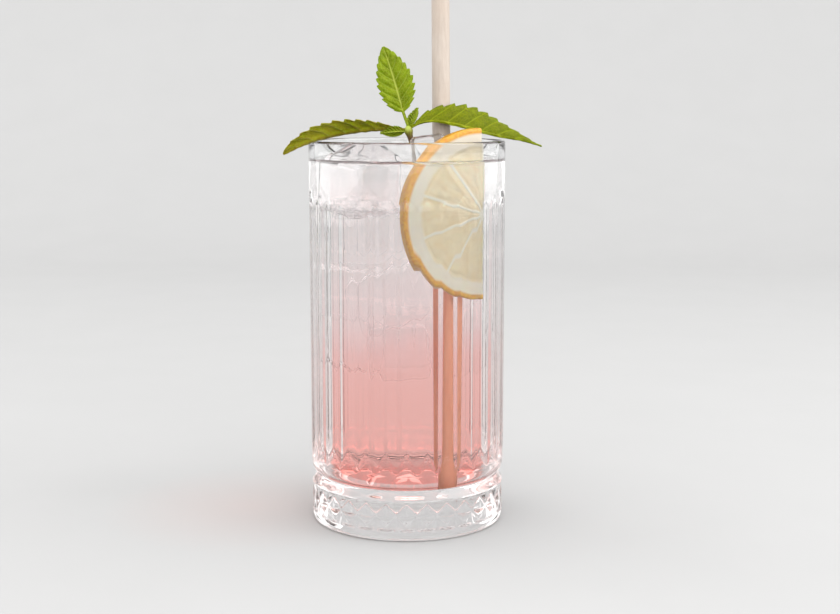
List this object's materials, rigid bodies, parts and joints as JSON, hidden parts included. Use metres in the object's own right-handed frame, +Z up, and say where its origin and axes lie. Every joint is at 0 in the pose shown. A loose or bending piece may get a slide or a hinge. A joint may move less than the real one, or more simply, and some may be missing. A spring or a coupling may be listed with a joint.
{
  "type": "glass of pink lemonade",
  "caption": "Tall fluted glass of pink lemonade on ice, with half a lemon wheel, a paper straw and a mint sprig.",
  "frame": {"origin": "middle of the glass's flat base", "axes": "+Z up along the glass's axis, -Y towards the front, where the lemon slice shows"},
  "size_m": [0.0963, 0.075, 0.2155],
  "materials": {
    "glass": "clear, polished",
    "lemonade": "clear pink liquid",
    "straw_paper": "matte kraft paper",
    "lemon": "moist flesh and rind",
    "mint": "soft leaf",
    "ice": "wet clear ice"
  },
  "bodies": {
    "root": {"glass": "glass", "lemonade": "lemonade", "straw": "straw_paper", "lemon_slice": "lemon", "mint_sprig": "mint", "ice_cube_left": "ice", "ice_cube_back": "ice", "ice_shard": "ice"}
  },
  "joints": []
}
